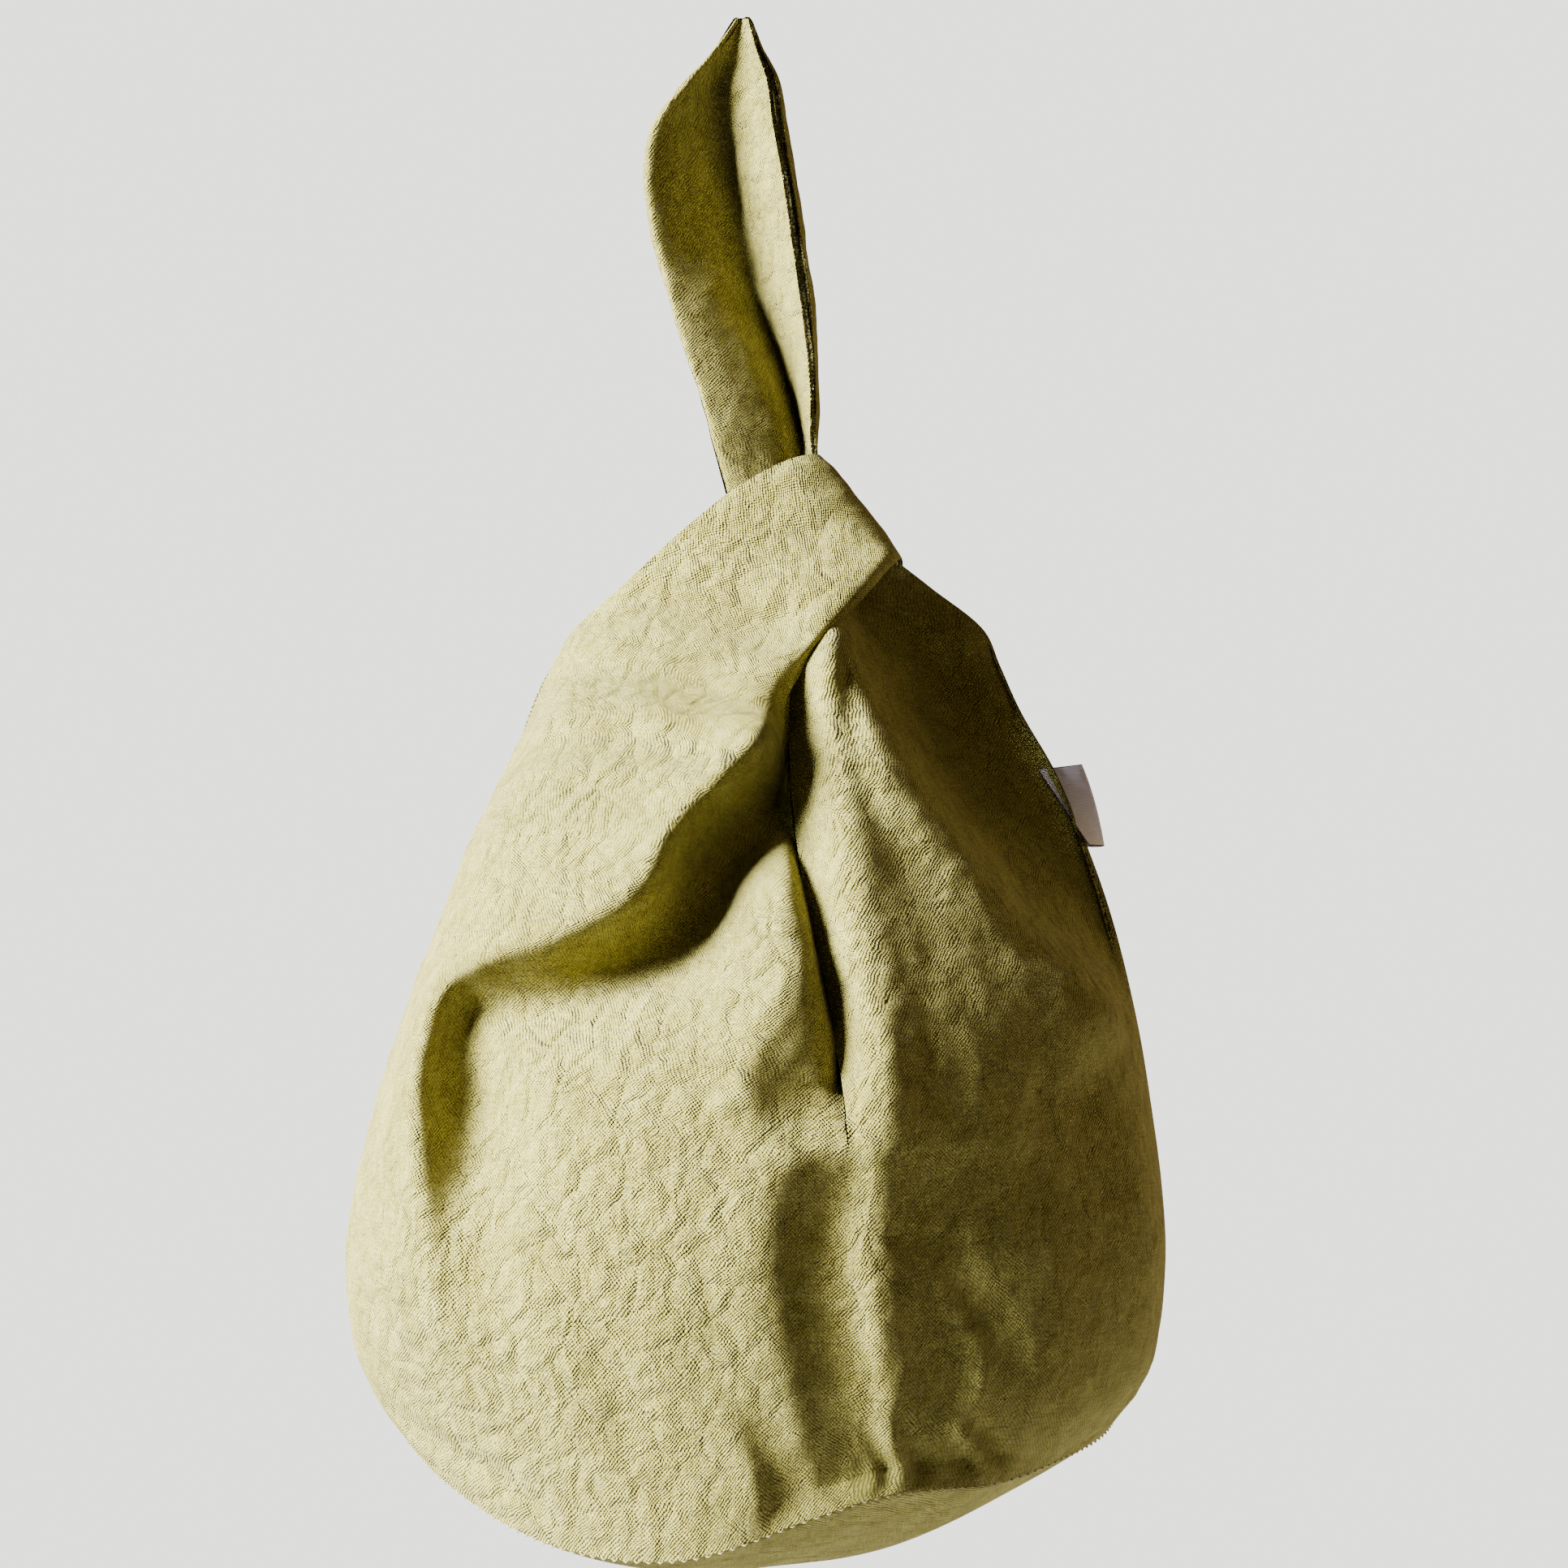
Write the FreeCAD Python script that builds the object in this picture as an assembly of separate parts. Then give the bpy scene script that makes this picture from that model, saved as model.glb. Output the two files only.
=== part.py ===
"""A knot bag hanging by its long handle: lengths in mm, +Z up, front towards -Y.

The origin is where the hook touches the inside top of the long handle. The front and back cloths
run up into two straps each: a short pair at the left that makes a loop, and a long pair at the
right that passes through the loop and makes the handle. Every cloth has its own lining.
"""
import FreeCAD, Part
import math
import os

CLOTH = 0.8  # one layer, with the air that soft cloth holds
HALF_SEAM = 0.3  # half the width of the thread line between two cloths
THREAD_INSET = 0.15  # how far a side seam's thread lies under the faces of its cloth
BIG = 400.0

# The bag's cross-sections from the mouth down to the base: height, half width, half depth, centre x
BAG_RINGS = [
    (-160.0, 53.5, 24.0, 8.5),
    (-175.0, 60.8, 33.0, 8.9),
    (-190.0, 67.6, 41.0, 9.2),
    (-205.0, 73.7, 48.0, 9.3),
    (-220.0, 79.1, 54.5, 9.2),
    (-235.0, 83.8, 60.2, 8.9),
    (-250.0, 87.7, 65.2, 8.3),
    (-270.0, 92.4, 71.2, 7.0),
    (-290.0, 96.2, 76.0, 5.3),
    (-308.0, 98.3, 79.2, 4.3),
    (-325.0, 97.2, 79.8, 4.2),
    (-340.0, 91.8, 76.8, 4.1),
    (-352.0, 83.5, 71.0, 4.0),
    (-362.0, 72.0, 62.3, 3.8),
    (-370.0, 57.5, 50.5, 3.8),
    (-375.5, 41.0, 36.5, 3.8),
    (-378.0, 26.0, 23.0, 3.8),
]

# The base seam dips at the front and back and rises at the sides
SEAM_LOW_Z = -365.0
SEAM_SIDE_Z = -344.0
SEAM_SIDE_X = 90.0

# The collapsed neckline slot, the same at front and back: bottom point and its two top corners
SLOT = [(24.0, -278.0), (2.0, -140.0), (19.0, -140.0)]

# The label sewn into the right side seam: top, bottom, and how far it stands out
LABEL_TOP = (82.6, -191.5)
LABEL_BOTTOM = (90.6, -209.5)
LABEL_WIDTH = 9.0
LABEL_LAYER = 0.5


def vec(x, y, z):
    return FreeCAD.Vector(x, y, z)


def save(name, shape):
    """Writes one node, the one solid of shape."""
    shape.Solids[0].exportStep(os.path.join("parts", name + ".step"))


# ---------------------------------------------------------------- the bag's walls and base

def inset_rings(depth):
    """The bag's rings moved in by depth, square to the side profile."""
    moved = []
    last = len(BAG_RINGS) - 1
    for i, (z, half_width, half_depth, middle) in enumerate(BAG_RINGS):
        above = BAG_RINGS[max(i - 1, 0)]
        below = BAG_RINGS[min(i + 1, last)]
        drop = above[0] - below[0]
        grow = (below[1] + below[2] - above[1] - above[2]) / 2
        length = math.hypot(drop, grow)
        out, up = drop / length, grow / length
        if i == 0:
            up = 0.0
        if i == last:
            out, up = 0.5, -1.0
        moved.append((z - depth * up, half_width - depth * out, half_depth - depth * out, middle))
    return moved


def bag_hull(depth):
    wires = []
    for z, half_width, half_depth, middle in inset_rings(depth):
        ring = Part.Ellipse(vec(middle + half_width, 0, z), vec(middle, half_depth, z), vec(middle, 0, z))
        wires.append(Part.Wire([ring.toShape()]))
    return Part.makeLoft(wires, True, False)


def below_seam(lift):
    """Everything under the saddle-shaped base seam, raised by lift."""
    top = []
    for step in range(-8, 9):
        x = 120.0 * step / 8
        z = SEAM_LOW_Z + (SEAM_SIDE_Z - SEAM_LOW_Z) * (x / SEAM_SIDE_X) ** 2 + lift
        top.append(vec(x, -BIG / 2, z))
    curve = Part.BSplineCurve()
    curve.interpolate(top)
    low_left = vec(top[0].x, -BIG / 2, -BIG * 1.5)
    low_right = vec(top[-1].x, -BIG / 2, -BIG * 1.5)
    wire = Part.Wire([
        curve.toShape(),
        Part.makeLine(top[-1], low_right),
        Part.makeLine(low_right, low_left),
        Part.makeLine(low_left, top[0]),
    ])
    return Part.Face(wire).extrude(vec(0, BIG, 0))


def slot_cutter():
    """The wedge that opens the front and the back neckline."""
    corners = [vec(x, -BIG / 2, z) for x, z in SLOT]
    return Part.Face(Part.makePolygon(corners + corners[:1])).extrude(vec(0, BIG, 0))


def half_space(front):
    y = -BIG - HALF_SEAM if front else HALF_SEAM
    return Part.makeBox(2 * BIG, BIG, 2 * BIG, vec(-BIG, y, -1.5 * BIG))


def side_thread(side, depth):
    """The thread line of one side seam, in the layer that starts at depth."""
    lines = []
    for inset in (depth + THREAD_INSET, depth + CLOTH - THREAD_INSET):
        rings = [ring for ring in inset_rings(inset) if ring[0] > SEAM_SIDE_Z]
        lines.append([vec(middle + side * half_width, -HALF_SEAM, z) for z, half_width, _, middle in rings])
    outline = lines[0] + lines[1][::-1]
    face = Part.Face(Part.makePolygon(outline + outline[:1]))
    return face.extrude(vec(0, 2 * HALF_SEAM, 0))


def make_bag():
    hulls = [bag_hull(0.0), bag_hull(CLOTH), bag_hull(2 * CLOTH)]
    over, under = below_seam(HALF_SEAM), below_seam(-HALF_SEAM)
    slot = slot_cutter()
    for number, name in enumerate(["outer", "lining"]):
        layer = hulls[number].cut(hulls[number + 1])
        wall = layer.cut(over).cut(slot)
        save(name + "_front_panel", wall.common(half_space(True)))
        save(name + "_back_panel", wall.common(half_space(False)))
        save(name + "_side_seam_left", side_thread(-1, number * CLOTH))
        save(name + "_side_seam_right", side_thread(1, number * CLOTH))
        save(name + "_base_panel", layer.common(under))
        save(name + "_base_seam", layer.common(over).cut(under))


# ---------------------------------------------------------------- straps

def flat_faces(a, b, c, d):
    """Two triangles over the four corners a, b, c, d, taken in order around."""
    return [Part.Face(Part.makePolygon([a, b, c, a])), Part.Face(Part.makePolygon([a, c, d, a]))]


def strap_layer(rows, low, high):
    """A strap layer through rows of points across it, between the distances low and high along
    each row's own outward direction."""
    grids = []
    for distance in (low, high):
        grid = []
        for outward, points in rows:
            shift = vec(*outward).normalize() * distance
            grid.append([vec(*p) + shift for p in points])
        grids.append(grid)
    near, far = grids
    across = len(near[0]) - 1
    faces = []
    for i in range(len(rows) - 1):
        for j in range(across):
            for grid in grids:
                faces += flat_faces(grid[i][j], grid[i + 1][j], grid[i + 1][j + 1], grid[i][j + 1])
        for j in (0, across):
            faces += flat_faces(near[i][j], near[i + 1][j], far[i + 1][j], far[i][j])
    for i in (0, len(rows) - 1):
        for j in range(across):
            faces += flat_faces(near[i][j], near[i][j + 1], far[i][j + 1], far[i][j])
    skin = Part.makeCompound(faces)
    skin.sewShape()
    solid = Part.Solid(skin.Shells[0])
    if solid.Volume < 0:
        solid.reverse()
    return solid


def save_strap(name, rows):
    """The outer cloth and the lining of one strap. rows follow the middle between the two."""
    save(name + "_outer", strap_layer(rows, 0.0, CLOTH))
    save(name + "_lining", strap_layer(rows, -CLOTH, 0.0))


def mirrored(rows):
    """The same strap at the back of the bag."""
    return [((ox, -oy, oz), [(x, -y, z) for x, y, z in points]) for (ox, oy, oz), points in rows]


# Each row: the outward direction, then the armhole edge and the neckline edge of the strap
SHORT_FRONT = [
    ((-0.3, -1.0, 0.3), [(-42.0, -8.5, -159.0), (-20.0, -19.5, -158.9), (2.0, -24.0, -158.8)]),
    ((-0.2, -1.0, 0.3), [(-24.0, -16.5, -142.0), (-5.0, -20.5, -149.5), (13.0, -22.5, -157.5)]),
    ((0.0, -1.0, 0.2), [(-4.0, -17.0, -124.0), (10.0, -18.0, -137.0), (25.0, -18.5, -150.0)]),
    ((0.1, -1.0, 0.0), [(16.0, -15.0, -112.5), (25.5, -15.0, -126.0), (35.0, -15.0, -140.0)]),
    ((0.8, -0.8, 0.3), [(19.3, -12.0, -112.5), (28.8, -12.0, -126.0), (38.3, -12.0, -140.0)]),
    ((1.0, 0.0, 0.4), [(21.0, -HALF_SEAM, -113.0), (30.5, -HALF_SEAM, -126.5), (40.0, -HALF_SEAM, -140.5)]),
]

LONG_FRONT = [
    ((0.1, -1.0, 0.3), [(57.0, -7.0, -159.0), (40.0, -17.5, -159.0), (23.0, -21.5, -159.0)]),
    ((0.1, -1.0, 0.4), [(42.0, -7.5, -147.5), (29.0, -11.5, -148.0), (15.0, -13.5, -148.5)]),
    ((0.0, -1.0, 0.2), [(30.0, -6.0, -136.0), (17.0, -8.5, -136.0), (3.0, -9.0, -136.0)]),
    ((0.0, -1.0, 0.1), [(19.0, -5.5, -123.0), (8.0, -7.5, -123.0), (-3.0, -7.5, -123.0)]),
    ((0.0, -1.0, 0.1), [(14.0, -4.5, -110.0), (4.0, -6.0, -110.0), (-6.0, -6.0, -110.0)]),
    ((0.0, -1.0, 0.1), [(13.5, -2.5, -92.0), (1.0, -2.5, -92.0), (-10.0, -2.5, -92.0)]),
]

# The wide handle leg is creased lengthwise: left edge, valley, right edge
HANDLE_LEFT = [
    ((0.0, 1.0, 0.0), [(-13.5, -1.0, -84.0), (2.0, 1.6, -84.0), (10.5, -1.0, -84.0)]),
    ((0.0, 1.0, 0.0), [(-20.5, -8.0, -62.0), (-3.5, 8.0, -62.0), (8.0, -6.0, -62.0)]),
    ((0.0, 1.0, 0.0), [(-23.0, -11.0, -42.0), (-7.0, 11.0, -42.0), (6.5, -9.0, -42.0)]),
    ((0.0, 1.0, 0.0), [(-19.5, -9.0, -22.0), (-8.0, 9.0, -22.0), (2.5, -8.0, -22.0)]),
    ((0.0, 1.0, 0.0), [(-7.6, -4.0, -3.4), (-4.6, 3.5, -3.4), (-1.2, -4.0, -3.4)]),
]

# The other leg is seen edge-on: front edge, middle, back edge
HANDLE_RIGHT = [
    ((1.0, 0.0, 0.0), [(14.3, -2.0, -84.0), (14.6, 0.0, -84.0), (14.3, 2.0, -84.0)]),
    ((1.0, 0.0, 0.0), [(15.8, -8.0, -62.0), (16.8, 0.0, -62.0), (15.8, 8.0, -62.0)]),
    ((1.0, 0.0, 0.1), [(14.6, -11.0, -42.0), (16.2, 0.0, -42.0), (14.6, 11.0, -42.0)]),
    ((1.0, 0.0, 0.3), [(10.0, -9.0, -22.0), (11.5, 0.0, -22.0), (10.0, 9.0, -22.0)]),
    ((1.0, 0.0, 0.3), [(3.9, -4.0, -3.4), (4.1, 0.0, -3.4), (3.9, 4.0, -3.4)]),
]

PEAK_RADIUS = 2.8  # inside the fold that rides on the hook
PEAK_HALF_WIDTH = 4.5


def make_straps():
    save_strap("short_front_strap", SHORT_FRONT)
    save_strap("short_back_strap", mirrored(SHORT_FRONT))
    save_strap("long_front_strap", LONG_FRONT)
    save_strap("long_back_strap", mirrored(LONG_FRONT))
    save_strap("handle_left_leg", HANDLE_LEFT)
    save_strap("handle_right_leg", HANDLE_RIGHT)


def make_short_loop_seam():
    """The thread line that joins the two short straps, at the fold on the right."""
    outward, points = SHORT_FRONT[-1]
    rows = [(outward, points), (outward, [(x, HALF_SEAM, z) for x, _, z in points])]
    save("short_loop_seam", strap_layer(rows, -CLOTH, CLOTH))


def peak_arch(inside, outside):
    """Half a ring over the hook, as wide as the gathered strap."""
    middle = vec(0, -PEAK_HALF_WIDTH, -PEAK_RADIUS)
    ring = Part.makeCylinder(outside, 2 * PEAK_HALF_WIDTH, middle, vec(0, 1, 0))
    ring = ring.cut(Part.makeCylinder(inside, 2 * PEAK_HALF_WIDTH, middle, vec(0, 1, 0)))
    return ring.common(Part.makeBox(40, 40, 20, vec(-20, -20, -PEAK_RADIUS)))


def make_handle_peak():
    save("handle_peak_lining", peak_arch(PEAK_RADIUS, PEAK_RADIUS + CLOTH))
    save("handle_peak_outer", peak_arch(PEAK_RADIUS + CLOTH, PEAK_RADIUS + 2 * CLOTH))


# ---------------------------------------------------------------- label

def make_label():
    """A folded ribbon: two leaves and the fold at their outer edge."""
    (x0, z0), (x1, z1) = LABEL_TOP, LABEL_BOTTOM
    along = vec(x1 - x0, 0, z1 - z0).normalize()
    out = vec(-along.z, 0, along.x)
    start = vec(x0, 0, z0) + out * 0.4
    length = math.hypot(x1 - x0, z1 - z0)
    base = Part.makePolygon([
        start,
        start + along * length,
        start + along * length + out * LABEL_WIDTH,
        start + out * LABEL_WIDTH,
        start,
    ])
    face = Part.Face(base)
    gap = 0.2
    front = face.extrude(vec(0, -LABEL_LAYER, 0)).translated(vec(0, -gap, 0))
    back = face.extrude(vec(0, LABEL_LAYER, 0)).translated(vec(0, gap, 0))
    fold = Part.Face(Part.makePolygon([
        start + out * LABEL_WIDTH,
        start + along * length + out * LABEL_WIDTH,
        start + along * length + out * (LABEL_WIDTH + LABEL_LAYER),
        start + out * (LABEL_WIDTH + LABEL_LAYER),
        start + out * LABEL_WIDTH,
    ])).extrude(vec(0, 2 * (gap + LABEL_LAYER), 0)).translated(vec(0, -gap - LABEL_LAYER, 0))
    save("side_label", front.fuse([back, fold]))


os.makedirs("parts", exist_ok=True)
make_bag()
make_straps()
make_short_loop_seam()
make_handle_peak()
make_label()
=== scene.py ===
"""Looks for the hanging knot bag: four quarters of lined cloth, a round base, a label and threads.

Shape tables are in millimetres, with the origin where the hook touches the handle, +X to the right
and -Y towards the viewer. Meshes are made in metres.
"""
import math

import bpy
import numpy as np
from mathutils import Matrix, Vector, noise


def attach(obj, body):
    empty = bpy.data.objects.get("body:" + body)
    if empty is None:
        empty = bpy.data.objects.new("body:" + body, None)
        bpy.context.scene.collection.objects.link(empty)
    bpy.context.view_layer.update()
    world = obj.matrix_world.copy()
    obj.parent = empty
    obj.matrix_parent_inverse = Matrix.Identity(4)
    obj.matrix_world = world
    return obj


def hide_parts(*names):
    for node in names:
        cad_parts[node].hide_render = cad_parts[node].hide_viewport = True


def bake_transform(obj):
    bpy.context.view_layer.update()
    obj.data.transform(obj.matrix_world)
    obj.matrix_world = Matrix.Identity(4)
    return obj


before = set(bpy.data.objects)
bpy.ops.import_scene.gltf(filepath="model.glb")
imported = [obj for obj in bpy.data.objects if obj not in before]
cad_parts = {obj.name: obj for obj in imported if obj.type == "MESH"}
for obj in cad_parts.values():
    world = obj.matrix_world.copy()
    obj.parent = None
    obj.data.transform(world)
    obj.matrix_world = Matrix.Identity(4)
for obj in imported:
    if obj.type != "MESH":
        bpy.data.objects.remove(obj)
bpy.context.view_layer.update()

MM = 0.001
CLOTH = 1.3  # outer cloth and lining together
RIBBON = 0.35  # the label's ribbon
SEAM_DEPTH = 1.6  # how far a seam's edges turn in
EDGE_TURN = 0.4  # how far an armhole edge turns in
SEAM_TOP = 168  # the side seams end this far below the hook
SEAM_START = 15  # the length over which a side seam begins below its top
BASE_MIDDLE = np.array([3.8, 0.0, -377.0])  # the lowest point of the base
SLOT_ROW = 4  # the row of every net that lies at the bottom of the neckline slot
CLOSED_ROWS = (0, 0, 0, 0, 0, 1, 1, 1, 1, 1, 0.7, 0.3)  # how far the back's slot is shut, row by row
CLOSED_COLUMNS = (0, 0, 0, 0, 0.4, 1, 1)  # and column by column

LOW_ROWS = 64  # grid rows from the base seam to the bottom of the slot
HIGH_ROWS = (180, 240)  # grid rows above that, in the left and the right quarter
ACROSS = 96  # grid columns from the side seam to the neckline
PATH_STEPS = 90  # points along a fold's path
PROFILE_STEPS = 400  # points across a fold's profile
HOLD_COLUMNS = 8  # folds and creases fade out over these columns at a side edge
HOLD_ROWS = 5  # and over these rows at the base seam

UV_PER_MM = 0.01
WEAVE_REPEAT = 0.9  # two threads of the weave
STITCH = 2.0  # the length of a stitch in the side seams and the base seam
LOOP_STITCH = 1.8
STITCH_GAP = 0.7
STITCH_SIDES = 6
THREAD = 0.18  # the thread's radius
BASE_THREAD = 0.22  # and in the base seam

CREASES = ((30.0, 0.45, 0), (9.0, 0.24, 3))  # size, height and a shift of the seed
BASE_RINGS = 46
BASE_DOME = 3.0  # a higher power makes the base flatter in the middle

FLOOR_Z = -0.8  # metres, as is the radius
FLOOR_RADIUS = 0.45

# ------------------------------------------------------------------ shape tables
# A quarter of the bag is a net of rows from the base seam up to the end of its strap. Each row runs
# from the side seam or armhole edge to the neckline edge, and its last point is where that edge
# rolls in.

FRONT_LEFT = [
    [(-86.3, 0, -342), (-80, -17, -347), (-66, -37, -356.5), (-42, -60, -365.5), (-12, -75, -366.8),
     (17, -77.5, -357.5), (24, -77, -355.3)],
    [(-92, 0, -332), (-86, -24, -335), (-70, -47, -340), (-45, -66, -346), (-12, -79, -347),
     (17, -81, -341), (24, -81, -340)],
    [(-94.3, 0, -311), (-90, -27, -312), (-76, -53, -315), (-50, -72, -318), (-15, -82, -319),
     (18, -83, -318), (24, -83, -318)],
    [(-92, 0, -292), (-88.5, -25, -291), (-76, -50, -291), (-50, -70, -293), (-15, -80, -295),
     (18, -82, -296), (24, -81.5, -296)],
    [(-88, 0, -275), (-84.5, -24, -273), (-73, -48, -272), (-50, -65, -274), (-15, -76.5, -276),
     (19, -80, -279), (24.3, -79, -280)],
    [(-81, 0, -256), (-78, -22, -252), (-67, -44, -250), (-46, -60, -250), (-15, -70, -253),
     (18.6, -74.5, -256), (22.5, -66, -258)],
    [(-74.5, 0, -236), (-71.5, -19, -231), (-61, -38, -228), (-41, -52, -228), (-15, -61, -232),
     (15.5, -65.5, -236), (18, -55, -239)],
    [(-67, 0, -213), (-63.5, -15, -208), (-53, -31, -204), (-34, -42, -204), (-12, -49, -209),
     (12, -54.5, -215), (14.5, -43, -218)],
    [(-57.2, 0, -190.5), (-53.5, -11, -186), (-44, -24, -182), (-28, -33, -181), (-10, -39, -185),
     (9.5, -42, -193), (12, -32, -196)],
    [(-45.8, -1, -163), (-40, -9, -160.5), (-31, -17, -160), (-19, -24, -163), (-6, -29, -168),
     (9, -34.5, -174.5), (11.5, -31, -176)],
    [(-41, -5, -156.3), (-33.5, -13, -155.5), (-24, -18.5, -156.8), (-13, -23.8, -160), (-1, -29, -164.8),
     (12.3, -34, -170.5), (14.2, -31, -171.6)],
    [(-29, -12.5, -147), (-23, -16, -150), (-15, -19.5, -153), (-6, -23, -156.5), (4, -26, -161),
     (15.8, -33, -166.3), (16.8, -30.5, -167)],
    [(-15, -15.5, -134.5), (-9, -18, -138), (-2, -20, -142), (6, -22, -146), (14, -26.5, -151),
     (23, -29.5, -157.7), (23.8, -27.5, -158.4)],
    [(0, -15.5, -122.5), (5, -17, -126.5), (11, -18.5, -131), (17.5, -19.5, -136), (24.5, -22.5, -142),
     (31.2, -24.5, -148), (31.8, -22.5, -148.7)],
    [(12, -14, -115.8), (16, -15, -119.7), (21, -16, -124.6), (26, -16.3, -129.8), (31.5, -17.5, -135.6),
     (36.6, -18.5, -141.5), (37, -17, -142)],
    [(18.8, -9.5, -113.6), (22.5, -10.5, -118), (26.5, -11, -123), (30.5, -11, -128), (34.6, -10.6, -133.4),
     (38.8, -10, -139.6), (39, -9.5, -140)],
    [(20, 0, -114.2), (23.6, 0, -118.6), (27.6, 0, -123.6), (31.6, 0, -128.6), (35.8, 0, -134),
     (40, 0, -140), (40.1, 0, -140.4)],
]

FRONT_RIGHT_BODY = [
    [(91, 0, -345), (85, -21, -348), (72, -44, -350.5), (56, -61, -353), (41, -70.5, -352.8),
     (29, -75.5, -354), (24, -77, -355.3)],
    [(99, 0, -333), (93, -25, -335), (78, -47.5, -337), (61, -64, -338), (44, -74, -338.5),
     (29.5, -80.5, -339.5), (24, -81, -340)],
    [(102.7, 0, -312), (96, -29, -312), (80, -49, -313), (62, -64, -315), (45, -74.5, -317),
     (30, -82.6, -318), (24, -83, -318)],
    [(102, 0, -290), (95, -28, -290), (79, -46.5, -291), (61, -61.5, -293), (45, -72, -295),
     (30.5, -81, -296), (24, -81.5, -296)],
    [(99.8, 0, -272), (92, -25, -271), (77, -44, -272), (60, -61, -274), (44, -71.5, -277),
     (30.5, -79.5, -279), (24.3, -79, -280)],
    [(96.5, 0, -251), (92, -12, -250), (84, -36, -250), (63, -56, -252), (43, -68, -254),
     (28, -74, -256), (22, -66, -258)],
    [(92, 0, -231), (85, -8, -230), (73, -28, -230), (61, -46.5, -232), (43, -59, -234),
     (24.5, -66, -236), (18.7, -57, -239)],
    [(86, 0, -212), (77, -5, -211), (62, -21, -211.5), (50, -44.5, -214), (36, -52.5, -215.5),
     (21.5, -56, -216), (14.5, -46, -219)],
    [(77.4, 0, -191), (67, -2, -191), (52, -12, -192), (38, -41, -195), (29, -46.5, -196),
     (18.9, -46, -197), (12.5, -38, -198)],
    [(67.8, 0, -173.5), (60, -2, -173), (47, -6, -174), (31, -31, -177), (25.5, -35, -178),
     (18.2, -36, -178.5), (12, -29, -180)],
    [(64, 0, -164.6), (56.5, -3, -164.6), (44.5, -6.5, -165.5), (30.5, -25, -168), (25.2, -32, -169),
     (18.2, -34.5, -170), (12.5, -28, -172)],
    [(60.2, -1, -156.2), (53, -4, -156), (42, -7, -157), (30, -14, -159), (25.5, -26, -160.5),
     (19, -29, -162), (13, -23, -164)],
    [(47, -4, -146), (42, -5.5, -146.5), (35, -7.5, -147.5), (26.5, -10, -149), (21, -18, -150.5),
     (15, -20.5, -152), (11, -17, -153)],
    [(35, -4, -136.5), (31, -5, -137), (26, -7, -137.5), (20, -8.5, -138), (14, -9.5, -139),
     (7.5, -10, -140), (5.5, -8.5, -141)],
]

# The front long strap goes on up through the loop and is creased lengthwise like a leaf
LEFT_LEG = [
    [(22, -3, -125), (19, -4, -125), (16, -5, -125), (12, -6, -125), (7, -8, -125),
     (0, -9, -125.5), (-2.2, -8.4, -126)],
    [(17.4, -3, -112), (16.8, -1, -112), (16.3, 2, -112), (15.3, 5, -112), (9, -3.5, -112),
     (-4.8, -9, -112), (-6.2, -8.4, -112.3)],
    [(17, -5, -98), (15.8, -1, -98), (14.6, 4, -98), (12.8, 8.5, -98), (5.5, -2.4, -98),
     (-9.1, -8.6, -98), (-10.3, -8, -98)],
    [(15.8, -6.5, -84), (13.4, -1, -84), (11, 4.5, -84), (8.5, 10, -84), (0, -1.2, -84),
     (-13.8, -7.6, -84), (-15, -6.9, -84)],
    [(14, -7, -70), (10.5, -1, -70), (7, 5, -70), (3.2, 11, -70), (-5.5, 1, -70),
     (-17.8, -6.2, -70), (-19, -5.3, -70)],
    [(11.8, -7.5, -55), (8, -1, -55), (4, 5.5, -55), (-0.5, 11.5, -55), (-10, 4.5, -55),
     (-21.6, -4.8, -55), (-23, -3.4, -55)],
    [(10, -7.5, -42), (5.5, -1, -42), (1, 5.5, -42), (-2.5, 11, -42), (-12, 4.5, -42),
     (-23.4, -4.6, -42), (-24.8, -3, -42)],
    [(7.6, -6.5, -28), (3, -1, -28), (-1.5, 5, -28), (-5, 10, -28), (-12.5, 4, -28),
     (-21.4, -3.8, -28), (-22.8, -2.2, -28)],
    [(6, -5, -16), (1.5, -1, -16), (-3.5, 3, -16), (-7.4, 6, -16), (-10, 2, -16),
     (-13.6, -3, -16), (-14.8, -1.6, -16.3)],
    [(3.2, -2.5, -7), (1.2, -0.5, -7), (-1.4, 1.2, -7), (-3.6, 2, -7), (-5.2, 0.6, -7),
     (-6.8, -1.6, -7.2), (-7.6, -0.8, -7.5)],
    [(1.4, -1.6, 0.9), (0.6, -0.8, 1.1), (0, 0, 1.2), (-0.6, 0.3, 1.1), (-1.1, 0, 1),
     (-1.6, -0.7, 0.9), (-2, -0.2, 0.7)],
]

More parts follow.
